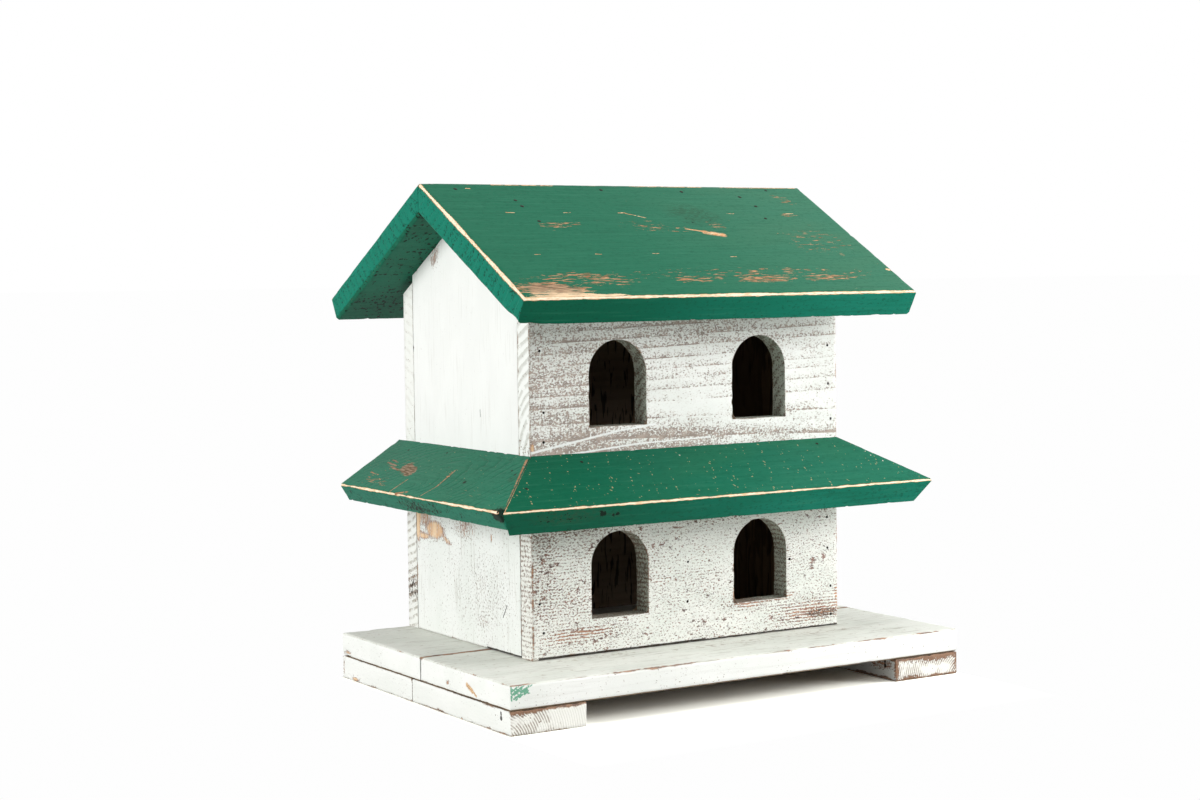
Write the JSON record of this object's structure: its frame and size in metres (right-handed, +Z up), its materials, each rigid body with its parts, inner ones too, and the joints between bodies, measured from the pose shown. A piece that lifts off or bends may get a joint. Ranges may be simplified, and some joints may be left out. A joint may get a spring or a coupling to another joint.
{
  "type": "birdhouse",
  "caption": "Storeyed wooden birdhouse for purple martins, with arched entrances, a gable roof, a sloping skirt roof below its upper storey and a landing ledge on runners.",
  "frame": {"origin": "middle of the footprint on the ground, under the runners", "axes": "+X along the front from the left end to the right end, +Y from the front to the back, +Z up"},
  "size_m": [0.459, 0.3714, 0.4404],
  "materials": {
    "green_paint": "weathered green gloss paint with bare sanded edges",
    "wall_white_paint": "thin white paint worn off rough-sawn wood",
    "base_white_paint": "greyish white paint with worn edges",
    "bare_wood": "unpainted, aged",
    "nail_steel": "dull, partly painted over"
  },
  "bodies": {
    "root": {"runner_left_front": "base_white_paint", "runner_left_back": "base_white_paint", "runner_right_front": "base_white_paint", "runner_right_back": "base_white_paint", "base_plank_front": "base_white_paint", "base_plank_back": "base_white_paint", "front_wall_lower": "wall_white_paint", "back_wall_lower": "wall_white_paint", "left_wall_lower": "wall_white_paint", "right_wall_lower": "wall_white_paint", "upper_floor": "bare_wood", "front_wall_upper": "wall_white_paint", "back_wall_upper": "wall_white_paint", "left_wall_upper": "wall_white_paint", "right_wall_upper": "wall_white_paint", "skirt_front": "green_paint", "skirt_left": "green_paint", "skirt_right": "green_paint", "roof_front": "green_paint", "roof_back": "green_paint"}
  },
  "joints": []
}
